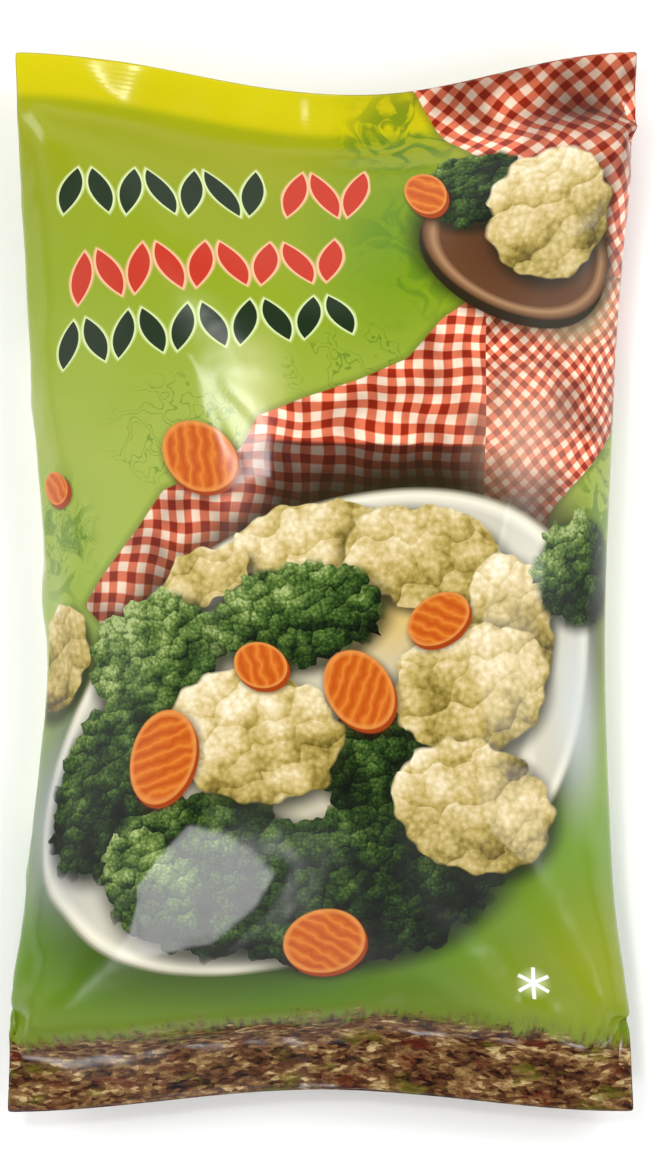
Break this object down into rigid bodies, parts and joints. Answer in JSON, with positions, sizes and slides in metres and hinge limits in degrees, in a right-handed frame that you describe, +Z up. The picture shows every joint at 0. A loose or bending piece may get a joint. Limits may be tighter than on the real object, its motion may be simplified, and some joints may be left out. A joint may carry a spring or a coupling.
{
  "type": "frozen vegetable bag",
  "caption": "Filled pillow bag of printed plastic film, sealed flat across both ends, lying on its back with the front panel up.",
  "frame": {"origin": "middle of the bag's bounding box, on the table plane that the flattened back rests on", "axes": "+X across the front panel to its right, +Y from the bottom seal to the top seal, +Z up out of the front panel"},
  "size_m": [0.209, 0.355, 0.0553],
  "materials": {
    "printed_film": "printed lime-green film with a satin gloss"
  },
  "bodies": {
    "root": {"bag": "printed_film"}
  },
  "joints": []
}
